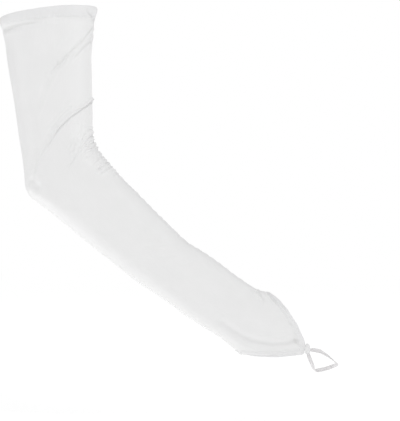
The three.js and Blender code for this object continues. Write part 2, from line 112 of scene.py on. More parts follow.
# Folds, in millimetres. Each runs over the tube through four places (mm along, degrees round). wide is the
# half width of its ridge and start to end the ridge's height, or a dent's depth where it is less than zero.
# crease is the half width of the two creases beside it, above and below their depth as a share of the height;
# below is the left-hand side along the fold, which for most folds is the side of the narrow opening. taper is
# the share of its length over which the fold dies away.
FOLDS = table("name u0 t0 u1 t1 u2 t2 u3 t3 wide start end crease above below taper", """
upper_drag           15     3   36.8  42.4  50.5  63    65    83    1.1 -1.05 -1.50  1.7  0.10 0.90 0.22
upper_drag_fading    56    74   74.8  89.2  92   101.2 111.9 113.5  2.0 -0.90 -0.40  2.0  0.20 0.40 0.30
upper_drag_second    22    38   29.4  53.9  35.5  63.9  43.6  72.9  1.4 -0.40 -0.40  1.2  0.30 0.60 0.15
upper_drag_under     31     9   40.3  32.6  50.6  49.3  61.4  65.2  1.2 -1.00 -0.50  1.4  0.50 0.30 0.30
cross_fold           87    -4  107.1  57   129.8  90.2 146.1 113.3  1.4  1.30  0.75  0.80 0.25 1.15 0.45
cross_fold_on        134   97  144.6 111.9 150.8 121.7 158   132.1  1.7  0.30  0.50  1.0  0.55 0.75 0.20
cross_fold_over      100.8 59.9 110.5 74.3 120.7  87.4 131.1  99.9  1.0 -0.60 -0.65  1.2  0.50 0.00 0.25
cross_crease         131    91  142.9 105.3 151.9 120.2 165.7 132.5  1.0 -0.55 -0.85  1.3  0.20 0.35 0.15
cross_fold_beside     95    22  110    55   124    78   137    96    1.3 -0.20 -0.20  1.0  0.30 0.50 0.15
bend_long            121 46 133 53 144 62.5 153 71 1.5 0.33 0.63 1.2 0.40 1.40 0.15
bend_long_beside     128 34 139 42 149 52 157 61 1.2 -0.33 -0.42 1.0 0.30 0.60 0.15
notch_first          123.8 -12 125 10 126.1 24 127.5 33 0.9 -1.10 -0.28 1.1 0.40 0.60 0.15
bend_first           131 -12 135.9 18 142.1 32.4 150.9 43.8 1.1 -1.30 -0.49 1.0 0.55 0.55 0.15
bend_first_short     133.5 34 136.9 40 141.1 43.5 146.1 47.5 0.9 -0.59 -0.63 0.9 0.50 0.50 0.15
bend_second          142 -12 147 18 148.5 36 147.6 48.2 0.9 -1.23 -0.42 0.9 0.60 0.60 0.15
bend_second_low      148 12 151.5 28 153 42 152 56 0.8 -0.59 -0.42 0.8 0.60 0.50 0.15
bend_third           152 -12 156 22 158 40.3 160.9 51.7 0.9 -1.23 -0.42 0.9 0.60 0.60 0.15
bend_fourth          159 -12 163.5 28 167 47.1 169.9 59.9 1.8 -1.04 -0.63 1.6 0.50 0.50 0.15
bend_fourth_low      165 -8 168 20 170.5 36 172 48 0.8 -0.52 -0.28 0.8 0.60 0.50 0.15
bend_fifth           168 -12 171.3 25 173.1 41.5 175.9 52.4 0.9 -1.04 -0.28 1.0 0.50 0.60 0.15
bend_sixth           175 -12 179.5 29.7 181.3 40.5 182.8 50 0.9 -1.10 -1.05 1.0 0.70 0.65 0.15
bend_seventh         181 -12 185.3 32.7 186.7 43.4 187.6 53 0.9 -0.91 -0.63 1.0 0.30 0.55 0.15
bend_eighth          190 -10 192.5 18 194.5 30 196 40 1.0 -0.59 -0.14 1.1 0.50 0.50 0.15
crinkle_low          153 52 157.2 59.6 159.6 64.7 161.6 70.3 0.9 -0.59 -0.49 0.9 0.60 0.60 0.15
crinkle_lower        161.5 66 164.6 71.9 166.9 75.7 169 79.7 0.9 -0.52 -0.42 0.9 0.60 0.60 0.15
crinkle_high         140 50 144 57 147.5 64 150 71 0.9 -0.33 -0.21 0.9 0.40 0.60 0.15
elbow_edge           169.5 141  181   135.5 196   132.3 218   129.5  5.2  1.55  0.45  3.2  0.00 0.00 0.20
elbow_shelf          172   147  188   143   210   140   240   140    7.0  0.75  0.25  3.0  0.00 0.00 0.15
elbow_dimple         164.6 134.2 168.2 131.8 172.2 129   177.2 125.6  5.6 -2.05 -1.60  2.6  0.00 0.00 0.35
elbow_soft           137   124  144   129.6 149.8 133.4 154.9 137.1  3.4 -0.45 -0.35  2.5  0.00 0.40 0.15
elbow_thread         141   119  149   127   157   134   165   139    1.2  0.15  0.15  0.9  0.50 0.40 0.15
hand_valley          395   119   418.5 120.2 448   106.8 470.5  87.6  5.0 -0.75 -3.20  3.0  0.00 0.20 0.00
hand_ridge           398.2 130   418.9 131.4 444.6 118.8 466    98.5  4.6  0.45  0.50  3.0  0.00 0.00 0.30
hand_valley_wide     388   118.5 405.4 123   420   119   436   112.5  6.5 -0.70 -0.70  3.0  0.00 0.00 0.30
hand_valley_inner    430   20   447.5  53   459.3  71.5 467.5  81.5  3.6 -0.05 -1.50  2.6  0.15 0.00 0.00
hand_dimple          460    90.6 463.5 89 467   87.3 470    85.5  4.6 -1.05 -1.20  2.0  0.00 0.00 0.00
pucker_before        396     6  400.5  17   404.5  28   408    37    1.3 -0.35 -0.15  1.3  0.50 0.50 0.15
pucker_first         404     8  411    27   416.5  38   422.4  45.5  1.3 -1.05 -0.60  1.2  0.55 0.75 0.15
pucker_second        419     4  425.5  20   430.3  28.4 434.4  34    1.4 -1.25 -0.85  1.3  0.50 0.70 0.15
pucker_third         431.5  14  437    28   441.8  36.1 446.3  42.2  1.1 -0.70 -0.50  1.0  0.50 0.50 0.15
arm_hem_ditch        14.4   0   14.4  60   14.4 120    14.4 180     2.6 -0.65 -0.95  2.0  0.00 0.00 0.00
arm_hem_hollow       15.2 152   15.4 120.9 14.4 103.7  12.8  86.4   3.2 -1.20 -0.45  2.6  0.15 0.00 0.15
arm_hem_dent           7    86    9.5  77.1 11.7  69.6  13.3  60     3.2 -0.55 -0.35  2.6  0.15 0.15 0.15
arm_hem_turn         4.7   34.4   6.4 24.9   8.2 12     9.9   0    3.9 -1.80 -3.30  2.2  0.00 0.00 0.00
forearm_soft         226    30  232    55  236    75   238    96     5.0  0.20  0.10  4.0  0.50 0.50 0.15
forearm_soft_on      262    26  268    48  272    68   274    90     5.0  0.20  0.10  4.0  0.50 0.50 0.15
forearm_thread_a     285.2  87.8 291.9  70.1 299.4 49.1 305.2 28.4   1.1 -0.16 -0.12  1.2  0.50 0.50 0.15
forearm_thread_b     296.5 104  302.9  86.4 310.9  69.2 317.4 56.3   1.1 -0.16 -0.10  1.2  0.50 0.50 0.15
forearm_thread_c     324.9  73.7 328.1 61.8 330.2  48.6 333.1 33.3   1.1 -0.18 -0.14  1.2  0.50 0.50 0.15
wrist_soft           352    16  358    42  362    66   365    90     5.5  0.25  0.10  4.0  0.50 0.50 0.15
arm_hem_ditch_rear    14.6 180   14.6 240   14.6 300    14.6 360     3.0 -0.55 -0.45  2.0  0.00 0.00 0.00
upper_drag_rear       24   352   40   330   56   306    74   282     1.9  0.80  0.45  1.3  0.50 0.55 0.15
upper_drag_rear_low   52   350   64   332   78   312    92   292     1.6  0.35  0.20  1.2  0.50 0.55 0.15
cross_fold_rear       88   356  101   318  118   284   140   250     2.0  1.05  0.60  0.9  0.35 0.90 0.15
cross_fold_rear_on   140   250  148   240  156   230   166   220     2.4  0.60  0.40  1.2  0.40 0.40 0.15
bend_rear_first      131   352  137   332  145   314   154   298     1.1 -0.90 -0.30  1.0  0.55 0.55 0.15
bend_rear_second     142   352  148   334  154   318   160   304     1.0 -0.90 -0.30  0.9  0.60 0.60 0.15
bend_rear_third      152   352  157   336  162   322   166   308     0.9 -0.85 -0.30  0.9  0.60 0.60 0.15
bend_rear_fourth     160   352  165   334  170   316   175   300     1.5 -0.80 -0.35  1.4  0.50 0.50 0.15
bend_rear_fifth      168   352  172   338  176   324   179   312     0.9 -0.75 -0.25  0.9  0.50 0.60 0.15
bend_rear_sixth      176   350  180   334  184   318   187   304     1.0 -0.80 -0.40  1.0  0.60 0.60 0.15
bend_rear_seventh    184   350  188   336  191   324   194   312     0.9 -0.55 -0.20  1.0  0.40 0.50 0.15
elbow_rear_dimple    166   228  168   226  170   224   172   222     4.0 -0.80 -0.80  2.4  0.00 0.00 0.15
wrist_rear           366   330  370   305  373   280   375   255     1.8  0.35  0.20  1.5  0.50 0.50 0.15
hand_rear_pull       392   345  398   320  402   295   404   270     1.5  0.30  0.12  1.3  0.50 0.50 0.15
""")

# Notches of the tube's bent side: place along, how far it leans for each degree round, and depth.
NOTCHES = table("u lean depth", """
 184.7 -0.10 0.45
 194.5 -0.25 0.60
 201.9 -0.30 0.50
 208.3 -0.32 0.60
 214.0 -0.30 0.45
 218.9 -0.28 0.55
 229.6 -0.30 0.55
 239.0 -0.26 0.50
 248.3 -0.30 0.50
 257.8 -0.24 0.55
 264.3 -0.30 0.40
 278.3 -0.26 0.50
 282.7 -0.20 0.30
 291.3 -0.24 0.45
 302.8 -0.26 0.40
 310.9 -0.22 0.40
 321.5 -0.24 0.35
 331.0 -0.20 0.35
 340.5 -0.22 0.30
 352.0 -0.20 0.30
 361.5 -0.18 0.25
 374.0 -0.16 0.25
""")

LOOP = table("x y z width turn", """
 270.6 -15.6 -353.9 2.8   0
 269.9 -15.6 -352.3 1.6   0
 269.6 -15.6 -350.9 1.3   0
 270.0 -15.6 -349.7 1.3   0
 271.2 -15.6 -349.7 1.6   0
 272.6 -15.6 -351.0 2.4   0
 274.6 -15.6 -350.9 3.8   0
 278.6 -15.4 -351.4 4.2   0
 283.2 -14.6 -352.5 4.2  -5
 287.0 -13.4 -354.7 4.0 -12
 290.5 -12.2 -356.9 4.0 -20
 294.5 -10.3 -359.9 4.2 -20
 300.6  -4.6 -365.4 4.2 -12
 301.8   2.0 -368.4 4.2  -8
 297.8   6.5 -371.0 4.2   0
 292.5   8.0 -373.1 4.2   0
 286.0   6.5 -374.4 4.2   0
 280.7   2.2 -374.7 4.2   0
 277.8  -3.6 -372.6 4.2   0
 275.6  -9.6 -367.0 4.1   0
 273.2 -13.3 -361.6 4.1   0
 271.6 -15.2 -357.6 4.0   0
 270.95 -15.6 -355.7 3.6  0
""")

# The casing: the tip's cloth folded over the elastic, open towards the loop. Each row is a section from the
# fold to the free edge, as seen from the front.
CASING = table("foldX foldZ lipX lipZ", """
 267.7  -354.9 271.7  -354.2
 267.25 -353.2 271.8  -354.0
 267.2  -351.4 271.9  -353.8
 267.35 -349.4 272.05 -353.6
 267.6  -347.4 272.15 -353.45
 268.0  -345.7 272.25 -353.3
 269.0  -344.5 272.35 -353.15
 270.3  -344.1 272.45 -353.0
 271.5  -345.0 272.55 -352.85
 272.5  -346.6 272.65 -352.7
 272.95 -348.4 272.7  -352.5
""")

CLOTH = 0.9  # the sheet's own thickness
FULL_FRONT = 2.2  # how much fuller than an oval the front is, halfway between its middle and its sides
TOP_HEM_DEPTH = 10.8
HAND_HEM_WIDTH = 6.4
JOIN = 0.03  # between a hem's outer layer and the sheet that it ends
HAND_SLANT = math.radians(-26.3)
HAND_SPREAD, HAND_LENGTH = 0.05, 62.0
THINS_FRONT, THINS_BACK = 4.2, 3.0
CASING_MIDDLE, CASING_HALF, CASING_WALL = -15.6, 1.95, 0.85
LOOP_THICK = 1.0
FINGER = dict(x=289.6, y=-3.5, z=-369.8, slant=math.radians(-41.1), rise=0.5)
POINT_AT = 88.0
SEAM_AT = 214.0  # degrees round: behind the outer edge
SIZES = dict(columns=196, outer=1.0, inner=6.2)


# ---------------------------------------------------------------------------------------------------------
# The tube's surface
# ---------------------------------------------------------------------------------------------------------
def number(rows, key):
    return np.array([float(r[key]) for r in rows])


def interpolator(xs, ys):
    """A smooth curve through the rows: cubic between them, with tangents from both neighbours."""
    h = np.diff(xs)
    s = np.diff(ys) / h
    m = np.empty_like(ys)
    m[1:-1] = (s[:-1] * h[1:] + s[1:] * h[:-1]) / (h[:-1] + h[1:])
    m[0], m[-1] = s[0], s[-1]

    def f(x):
        x = np.clip(x, xs[0], xs[-1])
        i = np.clip(np.searchsorted(xs, x) - 1, 0, len(xs) - 2)
        g = xs[i + 1] - xs[i]
        t = (x - xs[i]) / g
        return ((1 + 2 * t) * (1 - t) ** 2 * ys[i] + t * (1 - t) ** 2 * g * m[i]
                + t * t * (3 - 2 * t) * ys[i + 1] + t * t * (t - 1) * g * m[i + 1])

    return f


column = {k: number(SECTIONS, k) for k in SECTIONS[0]}
middle = np.stack([column["outerX"] + column["innerX"], column["outerZ"] + column["innerZ"]], -1) / 2
stations = np.concatenate([[0], np.cumsum(np.linalg.norm(np.diff(middle, axis=0), axis=1))])
PALM = stations[-1]
across = {k: interpolator(stations, v) for k, v in column.items()}


def smooth(u, t):
    """The tube with no folds: u mm along its middle line, t degrees round. Gives millimetres."""
    u, t = np.broadcast_arrays(np.asarray(u, float), np.asarray(t, float))
    c, past = np.minimum(u, PALM), np.maximum(u - PALM, 0)
    share = np.minimum(past / HAND_LENGTH, 1.2)
    ox, oz, ix, iz = (across[k](c) for k in ("outerX", "outerZ", "innerX", "innerZ"))
    spread, s = (1 + HAND_SPREAD * share) * np.cos(np.radians(t)), np.sin(np.radians(t))
    depth = np.where(s > 0, across["front"](c) - THINS_FRONT * share, across["back"](c) - THINS_BACK * share)
    return np.stack([
        (ox + ix) / 2 + (ix - ox) / 2 * spread + past * math.cos(HAND_SLANT),
        -depth * s,
        (oz + iz) / 2 + (iz - oz) / 2 * spread + past * math.sin(HAND_SLANT),
    ], -1)


def unit(v):
    return v / np.maximum(np.linalg.norm(v, axis=-1, keepdims=True), 1e-12)


def normal(u, t):
    du = smooth(u + 0.4, t) - smooth(u - 0.4, t)
    dt = smooth(u, t + 0.5) - smooth(u, t - 0.5)
    return unit(np.cross(dt, du)) * OUTWARD


OUTWARD = 1.0
OUTWARD = -1.0 if normal(np.array(60.0), np.array(90.0))[1] > 0 else 1.0


def bell(x):
    return np.exp(-np.minimum(x * x, 60))


PATH_STEPS = 24
ARCH = 2.4


def fold_path(row):
    """Points of a fold's line: a cubic through its four places."""
    s = np.linspace(0, 1, PATH_STEPS + 1)
    share = [-4.5 * (s - 1 / 3) * (s - 2 / 3) * (s - 1), 13.5 * s * (s - 2 / 3) * (s - 1),
             -13.5 * s * (s - 1 / 3) * (s - 1), 4.5 * s * (s - 1 / 3) * (s - 2 / 3)]
    u = sum(w * float(row[f"u{k}"]) for k, w in enumerate(share))
    t = sum(w * float(row[f"t{k}"]) for k, w in enumerate(share))
    if row["name"].startswith(("upper_drag", "cross_fold")):
        # these run on over the bent side to the rear in a soft arch
        u = u + ARCH * bell(((t + 180) % 360 - 180) / 12)
    return smooth(u, t)


def folds_at(p, n):
    """Height of the folds at points p with normals n."""
    wander = np.stack([0.20 * np.sin(p[..., 1] * 0.42 + p[..., 2] * 0.31), 0.15 * np.sin(p[..., 0] * 0.35 - p[..., 2] * 0.28 + 2.0),
                       0.20 * np.sin(p[..., 0] * 0.33 + p[..., 1] * 0.36 + 0.7)], -1)
    flat, flat_n = (p + wander).reshape(-1, 3), n.reshape(-1, 3)
    total = np.zeros(len(flat))
    for row in FOLDS:
        path = fold_path(row)
        wide, start, end, crease, above, below, taper = (float(row[k]) for k in ("wide", "start", "end", "crease", "above", "below", "taper"))
        far = 2.6 * wide + (3.6 * crease if above or below else 0)
        low, high = path.min(0) - far, path.max(0) + far
        near = np.nonzero(((flat > low) & (flat < high)).all(1))[0]
        if not len(near):
            continue
        q, qn = flat[near], flat_n[near]
        best = np.full(len(q), np.inf)
        side, where, beyond = np.zeros(len(q)), np.zeros(len(q)), np.zeros(len(q))
        for k in range(PATH_STEPS):
            a, d = path[k], path[k + 1] - path[k]
            length = math.sqrt(d @ d)
            free = (q - a) @ d / (d @ d)
            s = np.clip(free, 0, 1)
            to = q - a - s[:, None] * d
            dist = np.linalg.norm(to, axis=1)
            hit = dist < best
            best = np.where(hit, dist, best)
            side = np.where(hit, np.where((to * np.cross(qn, d)).sum(1) >= 0, 1.0, -1.0), side)
            where = np.where(hit, (k + s) / PATH_STEPS, where)
            over = np.abs(free - s) * length if k in (0, PATH_STEPS - 1) else np.zeros(len(q))
            beyond = np.where(hit, over, beyond)
        x = side * best
        amount = (start + (end - start) * where) * bell(beyond / (1.3 * wide + 0.6))
        if taper:
            left = np.clip((1 - where) / taper, 0, 1)
            amount *= 0.15 + 0.85 * left * left * (3 - 2 * left)
        total[near] += amount * (bell(x / wide) - above * bell((x + wide + 1.1 * crease) / crease)
                                 - below * bell((x - wide - 1.1 * crease) / crease))
    return total.reshape(p.shape[:-1])


def notches_at(u, wrapped):
    """The short creases along the tube's bent side, each with a soft swelling after it."""
    total = np.zeros(np.shape(u))
    for row in NOTCHES:
        place, lean, depth = (float(row[k]) for k in ("u", "lean", "depth"))
        d = u - place - lean * (wrapped - 8)
        total += 2.4 * depth * bell((wrapped + 1) / 10) * (0.45 * bell((d - 3.4) / 2.4) - bell(d / 1.25))
        rear = u - place - 2.7 + 0.24 * (wrapped + 12)
        total += 1.2 * depth * bell((wrapped + 26) / 14) * (0.5 * bell((rear - 3.2) / 2.4) - bell(rear / 1.1))
    return total


def waves(p, rows):
    """Sum of plane waves over points p: rows of (x, y, z cycles per mm, phase, amount)."""
    out = np.zeros(p.shape[:-1])
    for kx, ky, kz, phase, amount in rows:
        out += amount * np.sin(2 * math.pi * (p[..., 0] * kx + p[..., 1] * ky + p[..., 2] * kz) + phase)
    return out


def height(u, t, p, n):
    """Everything that lifts the cloth from the smooth tube, in millimetres."""
    h = folds_at(p, n)
    wrapped = (t + 180) % 360 - 180
    # the cloth's own slight unevenness
    h += waves(p, [(0.011, 0.013, 0.019, 0.3, 0.16), (-0.017, 0.021, 0.012, 1.9, 0.13),
                   (0.031, -0.024, 0.027, 4.1, 0.07), (-0.043, 0.034, 0.038, 2.2, 0.045)])
    h += notches_at(u, wrapped)
    # the front is flatter than an oval's, and turns to the sides in less space
    fade = np.clip((u - 345) / 55, 0, 1)
    h += np.where((wrapped > 0) & (wrapped < 180), FULL_FRONT * np.sin(2 * np.radians(t)) ** 2, 0) * (1 - fade * fade * (3 - 2 * fade))
    # puckers that the stitching draws into the cloth beside the hems
    ring = np.radians(t)
    pull = 0.16 * np.sin(47 * ring + 0.8 * np.sin(5 * ring)) + 0.09 * np.sin(83 * ring + 1.3)
    h += pull * bell((u - 11.6) / 4.2) * 0.8
    # the long seam behind the outer edge
    d = np.radians(t - SEAM_AT) * seam_radius(u)
    h += -0.42 * bell(d / 0.75) + 0.16 * bell((d - 2.6) / 1.5) + 0.12 * bell((d + 2.2) / 1.4)
    h += (0.13 * np.sin(2 * math.pi * u / 6.7 + 0.7 * np.sin(u / 17)) + 0.05 * np.sin(2 * math.pi * u / 3.1)) * bell(d / 4.6)
    return h


def seam_radius(u):
    """How far the surface moves for each radian round, at the seam."""
    c = np.minimum(u, PALM)
    a = np.hypot(across["innerX"](c) - across["outerX"](c), across["innerZ"](c) - across["outerZ"](c)) / 2
    b = across["back"](c)
    s = math.radians(SEAM_AT)
    return np.sqrt((a * math.sin(s)) ** 2 + (b * math.cos(s)) ** 2)


def lift(u, t, out):
    """Points of the cloth's outer face raised by out."""
    u, t, out = np.broadcast_arrays(np.asarray(u, float), np.asarray(t, float), np.asarray(out, float))
    p, n = smooth(u, t), normal(u, t)
    return p + n * (height(u, t, p, n) + out + rim_pull(u, t))[..., None]


# ---------------------------------------------------------------------------------------------------------
# Lines round the tube
# ---------------------------------------------------------------------------------------------------------
turns = np.concatenate([number(RIM, "around") + d for d in (-360, 0, 360)])
reach = interpolator(turns, np.tile(number(RIM, "reach"), 3))


def rim_at(t):
    return PALM + reach(np.mod(t, 360.0))


_round = np.linspace(0, 360, 720, endpoint=False)
RIM_LINE = smooth(rim_at(_round), _round)


def from_rim(u, t):
    """Shortest distance to the edge of the narrow opening."""
    p = smooth(u, t).reshape(-1, 3)
    best = np.full(len(p), np.inf)
    for k in range(len(RIM_LINE)):
        a, d = RIM_LINE[k], RIM_LINE[(k + 1) % len(RIM_LINE)] - RIM_LINE[k]
        s = np.clip((p - a) @ d / (d @ d), 0, 1)
        best = np.minimum(best, ((p - a - s[:, None] * d) ** 2).sum(1))
    return np.sqrt(best).reshape(np.shape(u))


def column_angles(n):
    """Angles of the mesh's columns: closer in front, at the point, along the bent side and at the seam."""
    t = np.linspace(0, 360, 7201)
    turn = lambda c: (t - c + 180) % 360 - 180
    weight = (0.8 + 0.45 * bell(turn(90) / 95) ** 2 + 0.5 * bell(turn(26) / 42) + 0.7 * bell(turn(POINT_AT) / 14)
              + 3.2 * bell(turn(SEAM_AT) / 1.7))
    total = np.concatenate([[0], np.cumsum((weight[1:] + weight[:-1]) / 2)])
    return np.interp(np.arange(n) / n * total[-1], total, t)


ANGLES = column_angles(SIZES["columns"])


_LINES = {}


def distance_grid():
    """Distance to the edge for every column, sampled along it, so that lines at any distance are quick."""
    if "grid" not in _LINES:
        back = np.concatenate([np.linspace(0, 4, 17), np.linspace(4.5, 34, 60)])
        u = rim_at(ANGLES)[None, :] - back[:, None]
        _LINES["grid"] = (back, np.maximum.accumulate(from_rim(u, np.broadcast_to(ANGLES, u.shape)), axis=0))
    return _LINES["grid"]


def in_from_rim(distance):
    """u of the line at a distance in from the narrow opening's edge, one value for each column."""
    back, dist = distance_grid()
    steps = np.array([np.interp(distance, dist[:, j], back) for j in range(len(ANGLES))])
    return rim_at(ANGLES) - steps


HEM_LINE = in_from_rim(HAND_HEM_WIDTH)
_hem_line = interpolator(np.concatenate([ANGLES - 360, ANGLES, ANGLES + 360]), np.tile(HEM_LINE, 3))


def rim_pull(u, t):
    """Puckers beside the narrow opening's hem, and a faint wave of its edge."""
    ring = np.radians(np.mod(t, 360.0))
    d = u - _hem_line(np.mod(t, 360.0))
    pull = 0.12 * np.sin(39 * ring + 1.1 * np.sin(4 * ring + 1)) + 0.07 * np.sin(71 * ring + 0.4)
    wave = 0.10 * np.sin(9 * ring + 0.5) + 0.07 * np.sin(17 * ring + 2.0)
    return pull * bell((d + 0.5) / 3.6) + wave * np.clip((d + 6) / 12, 0, 1)


# ---------------------------------------------------------------------------------------------------------
# Meshes
# ---------------------------------------------------------------------------------------------------------
def grid_object(name, points, uv, material_of=None):
    """A closed ring-like body from a grid of points [rows, columns, 3] in mm, both ways round closed."""
    rows, cols = points.shape[:2]
    k, j = np.meshgrid(np.arange(rows), np.arange(cols), indexing="ij")
    k2, j2 = (k + 1) % rows, (j + 1) % cols
    quads = np.stack([k * cols + j, k2 * cols + j, k2 * cols + j2, k * cols + j2], -1).reshape(-1, 4)
    flat = points.reshape(-1, 3)
    a, b, c, d = (flat[quads[:, i]] for i in range(4))
    volume = (a * np.cross(b, c)).sum() + (a * np.cross(c, d)).sum()
    # uv comes as [rows + 1, columns + 1, 2]
    ku, ju = k + 1, j + 1
    loops = np.stack([uv[k, j], uv[ku, j], uv[ku, ju], uv[k, ju]], -2).reshape(-1, 4, 2)
    mats = np.zeros((rows, cols), int) if material_of is None else material_of
    if volume < 0:
        quads, loops = quads[:, ::-1], loops[:, ::-1]
    mesh = bpy.data.meshes.new(name)
    mesh.vertices.add(len(flat))
    mesh.vertices.foreach_set("co", (flat * MM).astype(np.float32).ravel())
    mesh.loops.add(quads.size)
    mesh.loops.foreach_set("vertex_index", quads.ravel().astype(np.int32))
    mesh.polygons.add(len(quads))
    mesh.polygons.foreach_set("loop_start", (np.arange(len(quads)) * 4).astype(np.int32))
    mesh.polygons.foreach_set("loop_total", np.full(len(quads), 4, np.int32))
    mesh.polygons.foreach_set("material_index", mats.reshape(-1).astype(np.int32))
    mesh.polygons.foreach_set("use_smooth", np.ones(len(quads), bool))
    mesh.update(calc_edges=True)
    mesh.validate()
    layer = mesh.uv_layers.new(name="cloth")
    layer.data.foreach_set("uv", loops.reshape(-1).astype(np.float32))
    obj = bpy.data.objects.new(name, mesh)
    bpy.context.scene.collection.objects.link(obj)
    return obj


def cloth_uv(points):
    """uv in centimetres along and round the cloth, measured on the grid itself."""
    rows, cols = points.shape[:2]
    closed = np.concatenate([points, points[:1]], 0)
    closed = np.concatenate([closed, closed[:, :1]], 1)
    along = np.concatenate([np.zeros((1, cols + 1)), np.cumsum(np.linalg.norm(np.diff(closed, axis=0), axis=-1), axis=0)], 0)
    round_ = np.concatenate([np.zeros((rows + 1, 1)), np.cumsum(np.linalg.norm(np.diff(closed, axis=1), axis=-1), axis=1)], 1)
    along = np.broadcast_to(along.mean(1, keepdims=True), along.shape)
    return np.stack([round_ / 10, along / 10], -1)


def ride(obj, *materials):
    for m in materials:
        obj.data.materials.append(m)
    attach(obj, "root")
    return obj


# ---------------------------------------------------------------------------------------------------------
# Materials
# ---------------------------------------------------------------------------------------------------------
def material(name, colour, roughness, sheen=0.25, specular=0.28):
    m = bpy.data.materials.new(name)
    m.use_nodes = True
    nodes, links = m.node_tree.nodes, m.node_tree.links
    nodes.clear()
    out = nodes.new("ShaderNodeOutputMaterial")
    shader = nodes.new("ShaderNodeBsdfPrincipled")
    links.new(shader.outputs["BSDF"], out.inputs["Surface"])
    shader.inputs["Base Color"].default_value = (*colour, 1)
    shader.inputs["Roughness"].default_value = roughness
    shader.inputs["Metallic"].default_value = 0
    shader.inputs["IOR"].default_value = 1.46
    shader.inputs["Specular IOR Level"].default_value = specular
    shader.inputs["Sheen Weight"].default_value = sheen
    shader.inputs["Sheen Roughness"].default_value = 0.4
    shader.inputs["Sheen Tint"].default_value = (1, 1, 1, 1)
    return m, nodes, links, shader


def weave_coordinates(nodes, links, scale=(10, 10, 10), angle=0.0):
    uv = nodes.new("ShaderNodeUVMap")
    uv.uv_map = "cloth"
    mapping = nodes.new("ShaderNodeMapping")
    mapping.inputs["Scale"].default_value = scale
    mapping.inputs["Rotation"].default_value = (0, 0, angle)
    links.new(uv.outputs["UV"], mapping.inputs["Vector"])
    return mapping.outputs["Vector"]


def noise(nodes, links, vector, scale, detail=3.0, rough=0.55):
    n = nodes.new("ShaderNodeTexNoise")
    n.inputs["Scale"].default_value = scale
    n.inputs["Detail"].default_value = detail
    n.inputs["Roughness"].default_value = rough
    links.new(vector, n.inputs["Vector"])
    return n.outputs["Fac"]


def bands(nodes, links, vector, pitch_mm, direction="X", distortion=0.0, profile="SIN"):
    """Parallel ribs at a pitch in millimetres, over coordinates in millimetres."""
    w = nodes.new("ShaderNodeTexWave")
    w.wave_type, w.bands_direction, w.wave_profile = "BANDS", direction, profile
    w.inputs["Scale"].default_value = 2 * math.pi / (20 * pitch_mm)
    w.inputs["Distortion"].default_value = distortion
    w.inputs["Detail"].default_value = 2
    w.inputs["Detail Scale"].default_value = 1.5
    links.new(vector, w.inputs["Vector"])
    return w.outputs["Fac"]


def maths(nodes, links, operation, a, b):
    n = nodes.new("ShaderNodeMath")
    n.operation = operation
    for i, x in enumerate((a, b)):
        if isinstance(x, (int, float)):
            n.inputs[i].default_value = x
        else:
            links.new(x, n.inputs[i])
    return n.outputs[0]


def ramp(nodes, links, fac, low, high, at=(0.3, 0.7)):
    r = nodes.new("ShaderNodeValToRGB")
    r.color_ramp.elements[0].position, r.color_ramp.elements[1].position = at
    r.color_ramp.elements[0].color, r.color_ramp.elements[1].color = (*low, 1), (*high, 1)
    links.new(fac, r.inputs["Fac"])
    return r.outputs["Color"]


def span(nodes, links, fac, low, high):
    r = nodes.new("ShaderNodeMapRange")
    r.inputs["To Min"].default_value, r.inputs["To Max"].default_value = low, high
    links.new(fac, r.inputs["Value"])
    return r.outputs["Result"]


def bump(nodes, links, shader, height_, strength, distance_mm, after=None):
    b = nodes.new("ShaderNodeBump")
    b.inputs["Strength"].default_value = strength
    b.inputs["Distance"].default_value = distance_mm * MM
    links.new(height_, b.inputs["Height"])
    if after is not None:
        links.new(after, b.inputs["Normal"])
    links.new(b.outputs["Normal"], shader.inputs["Normal"])
    return b.outputs["Normal"]


def satin(name, colour, roughness, sheen, fine=0.3, soft=0.35, face=True):
    """Stretch satin: close wales along the tube with a slight slant, faint slubs and soft unevenness."""
    m, nodes, links, shader = material(name, colour, roughness, sheen)
    mm = weave_coordinates(nodes, links, (10, 10, 10))
    wales = bands(nodes, links, mm, 0.46, "X", 0.6)
    slant = bands(nodes, links, weave_coordinates(nodes, links, (10, 10, 10), math.radians(58)), 0.71, "X", 0.9)
    coords = nodes.new("ShaderNodeTexCoord")
    body = noise(nodes, links, coords.outputs["Object"], 38, 4)
    grain = noise(nodes, links, mm, 1.6, 2)
    slub = noise(nodes, links, weave_coordinates(nodes, links, (9, 0.5, 1)), 1.0, 3)
    weave = maths(nodes, links, "ADD", maths(nodes, links, "MULTIPLY", wales, 0.62 if face else 0.4),
                  maths(nodes, links, "MULTIPLY", slant, 0.38 if face else 0.6))
    first = bump(nodes, links, shader, body, soft, 0.5)
    second = bump(nodes, links, shader, maths(nodes, links, "ADD", grain, maths(nodes, links, "MULTIPLY", slub, 0.6)), 0.16, 0.12, first)
    bump(nodes, links, shader, weave, fine, 0.07, second)
    tone = maths(nodes, links, "ADD", maths(nodes, links, "MULTIPLY", body, 0.6),
                 maths(nodes, links, "MULTIPLY", slub, 0.4))
    dark = tuple(c * 0.975 for c in colour)
    links.new(ramp(nodes, links, tone, dark, colour, (0.32, 0.62)), shader.inputs["Base Color"])
    links.new(span(nodes, links, maths(nodes, links, "ADD", maths(nodes, links, "MULTIPLY", weave, 0.5),
                                       maths(nodes, links, "MULTIPLY", body, 0.5)), roughness - 0.05, roughness + 0.06), shader.inputs["Roughness"])
    return m


SATIN = satin("white_satin", (0.838, 0.838, 0.838), 0.47, 0.4)
SATIN_INSIDE = satin("white_satin_wrong_side", (0.81, 0.81, 0.806), 0.68, 0.12, fine=0.4, soft=0.25, face=False)
HEM_SATIN = satin("white_satin_turned", (0.815, 0.815, 0.819), 0.47, 0.35, fine=0.3, soft=0.3)


